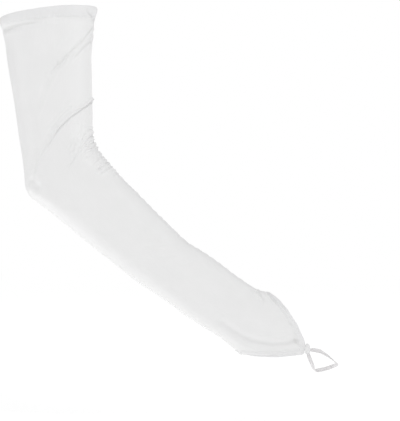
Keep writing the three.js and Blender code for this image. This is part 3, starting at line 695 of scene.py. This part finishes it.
def thread_material():
    m, nodes, links, shader = material("white_thread", (0.87, 0.87, 0.865), 0.6, 0.3)
    coords = nodes.new("ShaderNodeTexCoord")
    twist = nodes.new("ShaderNodeTexWave")
    twist.wave_type, twist.bands_direction = "BANDS", "DIAGONAL"
    twist.inputs["Scale"].default_value = 900
    links.new(coords.outputs["Object"], twist.inputs["Vector"])
    bump(nodes, links, shader, twist.outputs["Fac"], 0.4, 0.05)
    links.new(ramp(nodes, links, noise(nodes, links, coords.outputs["Object"], 300, 2), (0.83, 0.83, 0.825), (0.89, 0.89, 0.885)), shader.inputs["Base Color"])
    return m


def elastic_material():
    m, nodes, links, shader = material("white_elastic", (0.80, 0.785, 0.79), 0.66, 0.3)
    mm = weave_coordinates(nodes, links, (10, 10, 10))
    ribs = bands(nodes, links, mm, 0.62, "X", 0.15)
    picks = bands(nodes, links, mm, 0.42, "Y", 0.5)
    coords = nodes.new("ShaderNodeTexCoord")
    body = noise(nodes, links, coords.outputs["Object"], 160, 3)
    knit = maths(nodes, links, "ADD", maths(nodes, links, "MULTIPLY", ribs, 0.65), maths(nodes, links, "MULTIPLY", picks, 0.35))
    first = bump(nodes, links, shader, body, 0.3, 0.2)
    bump(nodes, links, shader, knit, 0.75, 0.16, first)
    tone = maths(nodes, links, "ADD", maths(nodes, links, "MULTIPLY", ribs, 0.45), maths(nodes, links, "MULTIPLY", body, 0.55))
    links.new(ramp(nodes, links, tone, (0.72, 0.705, 0.715), (0.84, 0.83, 0.835), (0.25, 0.75)), shader.inputs["Base Color"])
    links.new(span(nodes, links, knit, 0.72, 0.6), shader.inputs["Roughness"])
    return m


THREAD = thread_material()
ELASTIC = elastic_material()


# ---------------------------------------------------------------------------------------------------------
# Sleeve
# ---------------------------------------------------------------------------------------------------------
ROW_STEPS = table("until spacing", """
  84  1.30
 192  0.80
 335  1.33
""")


def sleeve_rows(end, top, coarser=1.0):
    """u of every row [rows, columns]: even down the tube, then following the narrow opening's edge."""
    levels, start = [[top, top + 0.25, top + 0.6]], top + 1.2
    for row in ROW_STEPS:
        until, spacing = float(row["until"]), float(row["spacing"]) * coarser
        levels.append(np.linspace(start, until, max(int(round((until - start) / spacing)), 2), endpoint=False))
        start = until
    rows = [np.full(len(ANGLES), v) for v in np.concatenate(levels)]
    count = int(round((end.max() - start) / (1.15 * coarser)))
    rows += [start + (end - 0.9 - start) * f for f in np.linspace(0, 1, count, endpoint=False)]
    return np.array(rows + [end - 0.9, end - 0.4, end - 0.15, end])


def make_sleeve():
    top = TOP_HEM_DEPTH + JOIN
    end = in_from_rim(HAND_HEM_WIDTH + JOIN)
    outer = sleeve_rows(end, top, SIZES["outer"])
    inner = sleeve_rows(end, top, SIZES["inner"])[::-1]
    angles = np.broadcast_to(ANGLES, outer.shape)
    # the cut edges roll in slightly where they meet the hems
    edge_out = np.zeros(outer.shape)
    for k, drop in ((0, 0.05), (1, 0.01), (-1, 0.05), (-2, 0.01)):
        edge_out[k] = -drop
    outer_points = lift(outer, angles, edge_out)
    inner_points = lift(inner, np.broadcast_to(ANGLES, inner.shape), np.full(inner.shape, -CLOTH))
    points = np.concatenate([outer_points, inner_points])
    mats = np.zeros(points.shape[:2], int)
    mats[len(outer):] = 1
    obj = grid_object("sleeve_satin", points, cloth_uv(points), mats)
    ride(obj, SATIN, SATIN_INSIDE)
    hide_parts("sleeve")
    return obj


# ---------------------------------------------------------------------------------------------------------
# Hems: a turned band seen from outside, whose edge laps a little way under the sleeve inside
# ---------------------------------------------------------------------------------------------------------
TOP_HEM = table("along out", """
  0.00 -0.45
  0.08 -0.10
  0.30  0.20
  0.80  0.40
  2.00  0.48
  4.00  0.50
  6.20  0.44
  7.20  0.37
  8.00  0.30
  8.40  0.25
  8.80  0.25
  9.40  0.19
  9.90  0.12
  10.30 0.07
  10.65 0.02
  10.80 -0.04
  10.80 -0.70
  10.90 -0.97
  12.20 -0.98
  14.00 -0.98
  14.30 -1.10
  14.35 -1.30
  14.20 -1.50
  12.00 -1.58
  9.80 -1.62
  8.40 -1.66
  5.00 -1.80
  2.00 -1.84
  0.80 -1.75
  0.30 -1.50
  0.08 -1.20
  0.00 -0.85
""")

HAND_HEM = table("along out", """
  0.00 -0.40
  0.08 -0.08
  0.30  0.18
  0.70  0.36
  1.20  0.40
  1.60  0.32
  2.00  0.12
  2.30  0.02
  2.60  0.10
  3.10  0.30
  3.80  0.42
  4.50  0.38
  5.00  0.26
  5.40  0.12
  5.70  0.06
  6.00  0.05
  6.25  0.02
  6.40 -0.06
  6.40 -0.70
  6.50 -0.97
  7.60 -0.98
  9.20 -0.98
  9.50 -1.10
  9.55 -1.30
  9.40 -1.50
  7.80 -1.58
  6.00 -1.62
  4.40 -1.64
  2.40 -1.70
  0.80 -1.62
  0.30 -1.42
  0.08 -1.15
  0.00 -0.80
""")


def make_top_hem():
    along, out = number(TOP_HEM, "along"), number(TOP_HEM, "out")
    t = np.broadcast_to(ANGLES, (len(along), len(ANGLES)))
    ring = np.radians(t)
    # the open edge isn't quite level, and the band is a little fuller in places
    wave = 0.22 * np.sin(3 * ring + 1.0) + 0.12 * np.sin(7 * ring + 2.2)
    u = along[:, None] + wave * np.clip(1 - along[:, None] / 8, 0, 1)
    full = 0.06 * np.sin(47 * ring + 0.8 * np.sin(5 * ring)) + 0.08 * np.sin(13 * ring + 0.4)
    swell = full * bell((along[:, None] - 4.5) / 3.5)
    points = lift(u, t, out[:, None] + np.where(out[:, None] > -0.6, swell, -swell))
    obj = grid_object("top_hem_band", points, cloth_uv(points))
    ride(obj, HEM_SATIN)
    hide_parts("top_hem")
    return obj


def make_hand_hem():
    along, out = number(HAND_HEM, "along"), number(HAND_HEM, "out")
    u = np.array([in_from_rim(a) if a > 0 else rim_at(ANGLES) for a in along])
    t = np.broadcast_to(ANGLES, u.shape)
    ring = np.radians(t)
    full = 0.05 * np.sin(61 * ring + 0.6 * np.sin(4 * ring)) + 0.05 * np.sin(19 * ring + 0.9)
    swell = full * bell((along[:, None] - 2.4) / 2.0)
    points = lift(u, t, out[:, None] + np.where(out[:, None] > -0.6, swell, -swell))
    obj = grid_object("hand_hem_band", points, cloth_uv(points))
    ride(obj, HEM_SATIN)
    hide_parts("hand_hem")
    return obj


# ---------------------------------------------------------------------------------------------------------
# Finger loop and its casing
# ---------------------------------------------------------------------------------------------------------
def loop_line(n):
    """Points, tangents, faces and widths of the elastic's closed middle line, evenly spaced."""
    p = np.stack([number(LOOP, k) for k in "xyz"], -1)
    w, turn = number(LOOP, "width"), number(LOOP, "turn")
    step = np.linalg.norm(np.diff(np.vstack([p, p[:1]]), axis=0), axis=1) ** 0.5
    knot = np.concatenate([[0], np.cumsum(step)])
    whole = knot[-1]
    xs = np.concatenate([knot[:-1] - whole, knot[:-1], knot[:-1] + whole])
    curves = [interpolator(xs, np.tile(p[:, k], 3)) for k in range(3)]
    width = interpolator(xs, np.tile(w, 3))
    turned = interpolator(xs, np.tile(turn, 3))
    fine = np.linspace(0, whole, 2401)
    q = np.stack([c(fine) for c in curves], -1)
    run = np.concatenate([[0], np.cumsum(np.linalg.norm(np.diff(q, axis=0), axis=1))])
    s = np.interp(np.arange(n) / n * run[-1], run, fine)
    point = np.stack([c(s) for c in curves], -1)
    tangent = unit(np.roll(point, -1, 0) - np.roll(point, 1, 0))
    fx, fz = math.cos(FINGER["slant"]), math.sin(FINGER["slant"])
    past = (point[:, 0] - FINGER["x"]) * fx + (point[:, 2] - FINGER["z"]) * fz
    centre = np.stack([FINGER["x"] + past * fx, FINGER["y"] + FINGER["rise"] * np.maximum(-past, 0), FINGER["z"] + past * fz], -1)
    face = point - centre
    face = unit(face - (face * tangent).sum(1, keepdims=True) * tangent)
    a = np.radians(turned(s))[:, None]
    face = face * np.cos(a) + np.cross(tangent, face) * np.sin(a)
    return point, tangent, face, width(s), run[-1]


def make_loop():
    n = 420
    point, tangent, face, width, length = loop_line(n)
    side = np.cross(tangent, face)
    # flat band with five ribs on each face and rounded edges
    flat = np.linspace(-0.46, 0.46, 15)
    rib = 0.045 * np.cos(flat / 0.92 * 2 * math.pi * 5)
    upper = [(x, 0.5 * (1 - 0.25 * (abs(x) / 0.5) ** 6) * LOOP_THICK + r) for x, r in zip(flat, rib)]
    lower = [(x, -y) for x, y in upper[::-1]]
    edge_r = [(0.5, 0.18 * LOOP_THICK), (0.5, -0.18 * LOOP_THICK)]
    edge_l = [(-0.5, -0.18 * LOOP_THICK), (-0.5, 0.18 * LOOP_THICK)]
    outline = upper + edge_r + lower + edge_l
    a, b = np.array([o[0] for o in outline]), np.array([o[1] for o in outline])
    s = np.arange(n) / n
    fuzz = 1 + 0.02 * np.sin(2 * math.pi * 31 * s) + 0.015 * np.sin(2 * math.pi * 53 * s + 1)
    picks = 0.02 * np.sin(2 * math.pi * 150 * s)
    points = (point[:, None] + side[:, None] * (a[None, :] * (width * fuzz)[:, None])[..., None]
              + face[:, None] * (b[None, :] * (1 + picks[:, None]))[..., None])
    obj = grid_object("finger_loop_elastic", points, cloth_uv(points))
    ride(obj, ELASTIC)
    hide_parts("finger_loop")
    return obj, length


def make_casing():
    """The folded tip: a sheet that goes from its front free edge round the fold to its rear one."""
    columns_ = [interpolator(np.arange(len(CASING), dtype=float), number(CASING, k)) for k in ("foldX", "foldZ", "lipX", "lipZ")]
    rows, cols = 46, 33
    at = np.linspace(0, len(CASING) - 1, rows)
    fx, fz, lx, lz = (c(at)[:, None] for c in columns_)
    length = np.hypot(lx - fx, lz - fz)
    f = np.linspace(-1, 1, cols)[None, :]
    a = np.minimum(np.abs(f) / 0.62, 1) * math.pi / 2
    rest = np.maximum((np.abs(f) - 0.62) / 0.38, 0)
    side = np.where(f < 0, -1.0, 1.0)
    near_end = bell((at[:, None] - 0) / 0.8) + bell((at[:, None] - (len(CASING) - 1)) / 0.8)
    crimp = 0.05 * np.sin(at[:, None] * 2.9 + 1.2) * np.sin(a) + 0.03 * np.sin(at[:, None] * 6.1 + 5 * f)

    def face(wall):
        inside = 1.0 if wall else 0.0
        deep = wall + (CASING_HALF - wall) * (1 - np.cos(a)) + (length - CASING_HALF) * rest
        half = (CASING_HALF - wall - (0.30 - 0.3 * inside) * rest ** 1.5 - (0.22 - 0.22 * inside) * near_end + crimp * (1 - 0.5 * inside)) * np.sin(a)
        share = deep / length
        return np.stack([fx + (lx - fx) * share, CASING_MIDDLE + side * half + 0 * fx, fz + (lz - fz) * share], -1)

    outer, inner = face(0.0), face(CASING_WALL)
    obj = folded_sheet("loop_casing_fold", outer, inner, 0.16)
    ride(obj, HEM_SATIN)
    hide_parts("loop_casing")
    return obj


def folded_sheet(name, outer, inner, round_):
    """A closed body from the two faces of a sheet, [rows, columns, 3] in mm, with a rounded edge all round."""
    rows, cols = outer.shape[:2]
    ring_ = [(0, j) for j in range(cols)] + [(i, cols - 1) for i in range(1, rows)] \
        + [(rows - 1, j) for j in range(cols - 2, -1, -1)] + [(i, 0) for i in range(rows - 2, 0, -1)]
    middle_ = (outer + inner) / 2
    edge = []
    for i, j in ring_:
        i2, j2 = min(max(i, 1), rows - 2), min(max(j, 1), cols - 2)
        away = middle_[i, j] - middle_[i2, j2]
        edge.append(middle_[i, j] + away / max(np.linalg.norm(away), 1e-9) * round_)
    n = rows * cols
    verts = np.concatenate([outer.reshape(-1, 3), inner.reshape(-1, 3), np.array(edge)])
    faces = []
    for i in range(rows - 1):
        for j in range(cols - 1):
            p = i * cols + j
            faces.append((p, p + 1, p + cols + 1, p + cols))
            faces.append((n + p, n + p + cols, n + p + cols + 1, n + p + 1))
    m = len(ring_)
    for k in range(m):
        (i, j), (i2, j2) = ring_[k], ring_[(k + 1) % m]
        a, b, e, g = i * cols + j, i2 * cols + j2, 2 * n + k, 2 * n + (k + 1) % m
        faces.append((b, a, e, g))
        faces.append((g, e, n + a, n + b))
    # mm over the sheet, for the weave
    run = np.concatenate([np.zeros((rows, 1)), np.cumsum(np.linalg.norm(np.diff(outer, axis=1), axis=-1), axis=1)], 1)
    down = np.concatenate([np.zeros((1, cols)), np.cumsum(np.linalg.norm(np.diff(outer, axis=0), axis=-1), axis=0)], 0)
    flat = np.stack([run, np.broadcast_to(down.mean(1, keepdims=True), run.shape)], -1).reshape(-1, 2) / 10
    flat = np.concatenate([flat, flat + (0, 0.5), np.array([flat[i * cols + j] for i, j in ring_]) + (0, 0.03)])
    mesh = bpy.data.meshes.new(name)
    mesh.from_pydata([tuple(v * MM) for v in verts], [], faces)
    mesh.update()
    if sum((verts[q[0]] * np.cross(verts[q[1]], verts[q[2]])).sum() + (verts[q[0]] * np.cross(verts[q[2]], verts[q[3]])).sum() for q in faces) < 0:
        mesh.flip_normals()
    layer = mesh.uv_layers.new(name="cloth")
    index = np.empty(len(mesh.loops), np.int32)
    mesh.loops.foreach_get("vertex_index", index)
    layer.data.foreach_set("uv", flat[index].astype(np.float32).ravel())
    mesh.polygons.foreach_set("use_smooth", np.ones(len(mesh.polygons), bool))
    obj = bpy.data.objects.new(name, mesh)
    bpy.context.scene.collection.objects.link(obj)
    return obj


# ---------------------------------------------------------------------------------------------------------
# Stitches: short rounded threads laid along lines on the cloth
# ---------------------------------------------------------------------------------------------------------
def resample(points, pitch, closed=True):
    q = np.vstack([points, points[:1]]) if closed else points
    run = np.concatenate([[0], np.cumsum(np.linalg.norm(np.diff(q, axis=0), axis=1))])
    count = max(int(round(run[-1] / pitch)), 1)
    s = (np.arange(count) + 0.5) / count * run[-1]
    place = np.stack([np.interp(s, run, q[:, k]) for k in range(3)], -1)
    ahead = np.stack([np.interp(np.minimum(s + 0.4, run[-1]), run, q[:, k]) for k in range(3)], -1)
    behind = np.stack([np.interp(np.maximum(s - 0.4, 0), run, q[:, k]) for k in range(3)], -1)
    return place, unit(ahead - behind), s, run


def stitches(name, lines, length, width, tall, slant=0.0):
    """lines: (points, normals, pitch, closed). One joined object of small closed threads."""
    verts, faces = [], []
    rings, sides = 5, 8
    for points, normals, pitch, closed in lines:
        place, along, s, run = resample(points, pitch, closed)
        nn = np.vstack([normals, normals[:1]]) if closed else normals
        up = unit(np.stack([np.interp(s, run, nn[:, k]) for k in range(3)], -1))
        up = unit(up - (up * along).sum(1, keepdims=True) * along)
        side = np.cross(along, up)
        if slant:
            along, side = unit(along * math.cos(slant) + side * math.sin(slant)), unit(side * math.cos(slant) - along * math.sin(slant))
        for c, a, b, n in zip(place, along, side, up):
            base = len(verts)
            for k in range(1, rings):
                f = math.pi * k / rings
                x, r = -math.cos(f) * length / 2, math.sin(f) ** 0.6
                arch = -0.10 * (2 * x / length) ** 2
                for j in range(sides):
                    g = 2 * math.pi * j / sides
                    verts.append(c + a * x + b * (r * math.cos(g) * width / 2) + n * (r * math.sin(g) * tall / 2 + arch))
            first, last = len(verts), len(verts) + 1
            verts.append(c - a * length / 2 - n * 0.10)
            verts.append(c + a * length / 2 - n * 0.10)
            for k in range(rings - 2):
                for j in range(sides):
                    p, q = base + k * sides + j, base + k * sides + (j + 1) % sides
                    faces.append((p, p + sides, q + sides, q))
            for j in range(sides):
                faces.append((first, base + j, base + (j + 1) % sides))
                e = base + (rings - 2) * sides
                faces.append((last, e + (j + 1) % sides, e + j))
    mesh = bpy.data.meshes.new(name)
    mesh.from_pydata([tuple(np.asarray(v) * MM) for v in verts], [], faces)
    mesh.update()
    import bmesh
    bm = bmesh.new()
    bm.from_mesh(mesh)
    bmesh.ops.recalc_face_normals(bm, faces=bm.faces)
    bm.to_mesh(mesh)
    bm.free()
    mesh.polygons.foreach_set("use_smooth", np.ones(len(mesh.polygons), bool))
    obj = bpy.data.objects.new(name, mesh)
    bpy.context.scene.collection.objects.link(obj)
    ride(obj, THREAD)
    return obj


def line_at(u, t, out):
    u, t = np.broadcast_arrays(np.asarray(u, float), np.asarray(t, float))
    return lift(u, t, out), normal(u, t)


def make_stitches():
    made = []
    t = np.linspace(0, 360, 720, endpoint=False)
    ring = np.radians(t)
    a = line_at(8.6 + 0.0 * t, t, 0.19)
    b = line_at(10.1 + 0.0 * t, t, 0.06)
    obj = stitches("top_hem_stitches", [(*a, 2.7, True), (*b, 2.7, True)], 2.2, 0.42, 0.24)
    made.append(obj)
    u1, u2 = in_from_rim(2.3), in_from_rim(5.85)
    a = line_at(u1, ANGLES, 0.1)
    b = line_at(u2, ANGLES, 0.1)
    obj = stitches("hand_hem_stitches", [(*a, 2.4, True), (*b, 2.4, True)], 2.0, 0.46, 0.3)
    made.append(obj)
    return made


top_hem = make_top_hem()
sleeve = make_sleeve()
hand_hem = make_hand_hem()
loop, loop_length = make_loop()
casing = make_casing()
threads = make_stitches()


# ---------------------------------------------------------------------------------------------------------
# Camera, light and floor
# ---------------------------------------------------------------------------------------------------------
camera_data = bpy.data.cameras.new("camera")
camera = bpy.data.objects.new("camera", camera_data)
bpy.context.scene.collection.objects.link(camera)
camera.location = (0.15855, -1.3, -0.2063)
camera.rotation_euler = (math.radians(90), 0, 0)
camera_data.sensor_width = 36
camera_data.sensor_fit = "AUTO"
camera_data.lens = 36 * 1.3 / 0.44205
camera_data.clip_end = 50
bpy.context.scene.camera = camera


def floor():
    """A large pale round floor whose far edge has the brightness of the surroundings."""
    rings, sides = 24, 96
    verts, faces = [(0.13, 0.0, 0.0)], []
    for k in range(1, rings + 1):
        r = 14 * (k / rings) ** 2
        for j in range(sides):
            g = 2 * math.pi * j / sides
            verts.append((0.13 + r * math.cos(g), r * math.sin(g), 0.0))
    for j in range(sides):
        faces.append((0, 1 + j, 1 + (j + 1) % sides))
    for k in range(rings - 1):
        for j in range(sides):
            p, q = 1 + k * sides + j, 1 + k * sides + (j + 1) % sides
            faces.append((p, p + sides, q + sides, q))
    mesh = bpy.data.meshes.new("floor")
    mesh.from_pydata([(x, y, z - 0.432) for x, y, z in verts], [], faces)
    mesh.update()
    obj = bpy.data.objects.new("floor", mesh)
    bpy.context.scene.collection.objects.link(obj)
    m = bpy.data.materials.new("pale_floor")
    m.use_nodes = True
    nodes, links = m.node_tree.nodes, m.node_tree.links
    nodes.clear()
    out = nodes.new("ShaderNodeOutputMaterial")
    diffuse = nodes.new("ShaderNodeBsdfDiffuse")
    diffuse.inputs["Color"].default_value = (0.6, 0.6, 0.6, 1)
    glow = nodes.new("ShaderNodeEmission")
    glow.inputs["Color"].default_value = (1, 1, 1, 1)
    near = nodes.new("ShaderNodeEmission")
    near.inputs["Color"].default_value = (1, 1, 1, 1)
    near.inputs["Strength"].default_value = 0.64
    both = nodes.new("ShaderNodeAddShader")
    links.new(diffuse.outputs[0], both.inputs[0])
    links.new(near.outputs[0], both.inputs[1])
    coords = nodes.new("ShaderNodeTexCoord")
    distance = nodes.new("ShaderNodeVectorMath")
    distance.operation = "LENGTH"
    links.new(coords.outputs["Object"], distance.inputs[0])
    fade = nodes.new("ShaderNodeMapRange")
    fade.interpolation_type = "SMOOTHSTEP"
    fade.inputs["From Min"].default_value = 0.7
    fade.inputs["From Max"].default_value = 3.0
    links.new(distance.outputs["Value"], fade.inputs["Value"])
    mix = nodes.new("ShaderNodeMixShader")
    links.new(fade.outputs["Result"], mix.inputs["Fac"])
    links.new(both.outputs[0], mix.inputs[1])
    links.new(glow.outputs[0], mix.inputs[2])
    links.new(mix.outputs[0], out.inputs["Surface"])
    obj.data.materials.append(m)
    return obj


floor()

world = bpy.data.worlds.new("studio")
bpy.context.scene.world = world
world.use_nodes = True
wn, wl = world.node_tree.nodes, world.node_tree.links
wn.clear()
w_out = wn.new("ShaderNodeOutputWorld")
seen = wn.new("ShaderNodeBackground")
seen.inputs["Color"].default_value = (1, 1, 1, 1)
seen.inputs["Strength"].default_value = 1.0
lit = wn.new("ShaderNodeBackground")
lit.inputs["Color"].default_value = (1, 1, 1, 1)
lit.inputs["Strength"].default_value = 0.54
path = wn.new("ShaderNodeLightPath")
w_mix = wn.new("ShaderNodeMixShader")
wl.new(path.outputs["Is Camera Ray"], w_mix.inputs["Fac"])
wl.new(lit.outputs[0], w_mix.inputs[1])
wl.new(seen.outputs[0], w_mix.inputs[2])
wl.new(w_mix.outputs[0], w_out.inputs["Surface"])


def area_light(name, at, target, size, energy, colour=(1, 1, 1)):
    data = bpy.data.lights.new(name, "AREA")
    data.shape, data.size, data.energy, data.color = "DISK", size, energy, colour
    obj = bpy.data.objects.new(name, data)
    bpy.context.scene.collection.objects.link(obj)
    obj.location = at
    obj.rotation_euler = (Vector(target) - Vector(at)).to_track_quat("-Z", "Y").to_euler()
    return obj


area_light("key", (0.45, -0.9, 1.9), (0.12, 0, -0.2), 0.3, 14.5)
area_light("fill_low", (-1.6, -0.5, -0.15), (0.12, 0, -0.25), 0.45, 3.4)
area_light("fill_right", (2.0, -0.7, 0.55), (0.12, 0, -0.2), 0.9, 4.5)
bpy.context.scene.view_settings.view_transform = "Standard"
bpy.context.scene.view_settings.look = "None"
bpy.context.scene.view_settings.exposure = 0
bpy.context.scene.view_settings.gamma = 1
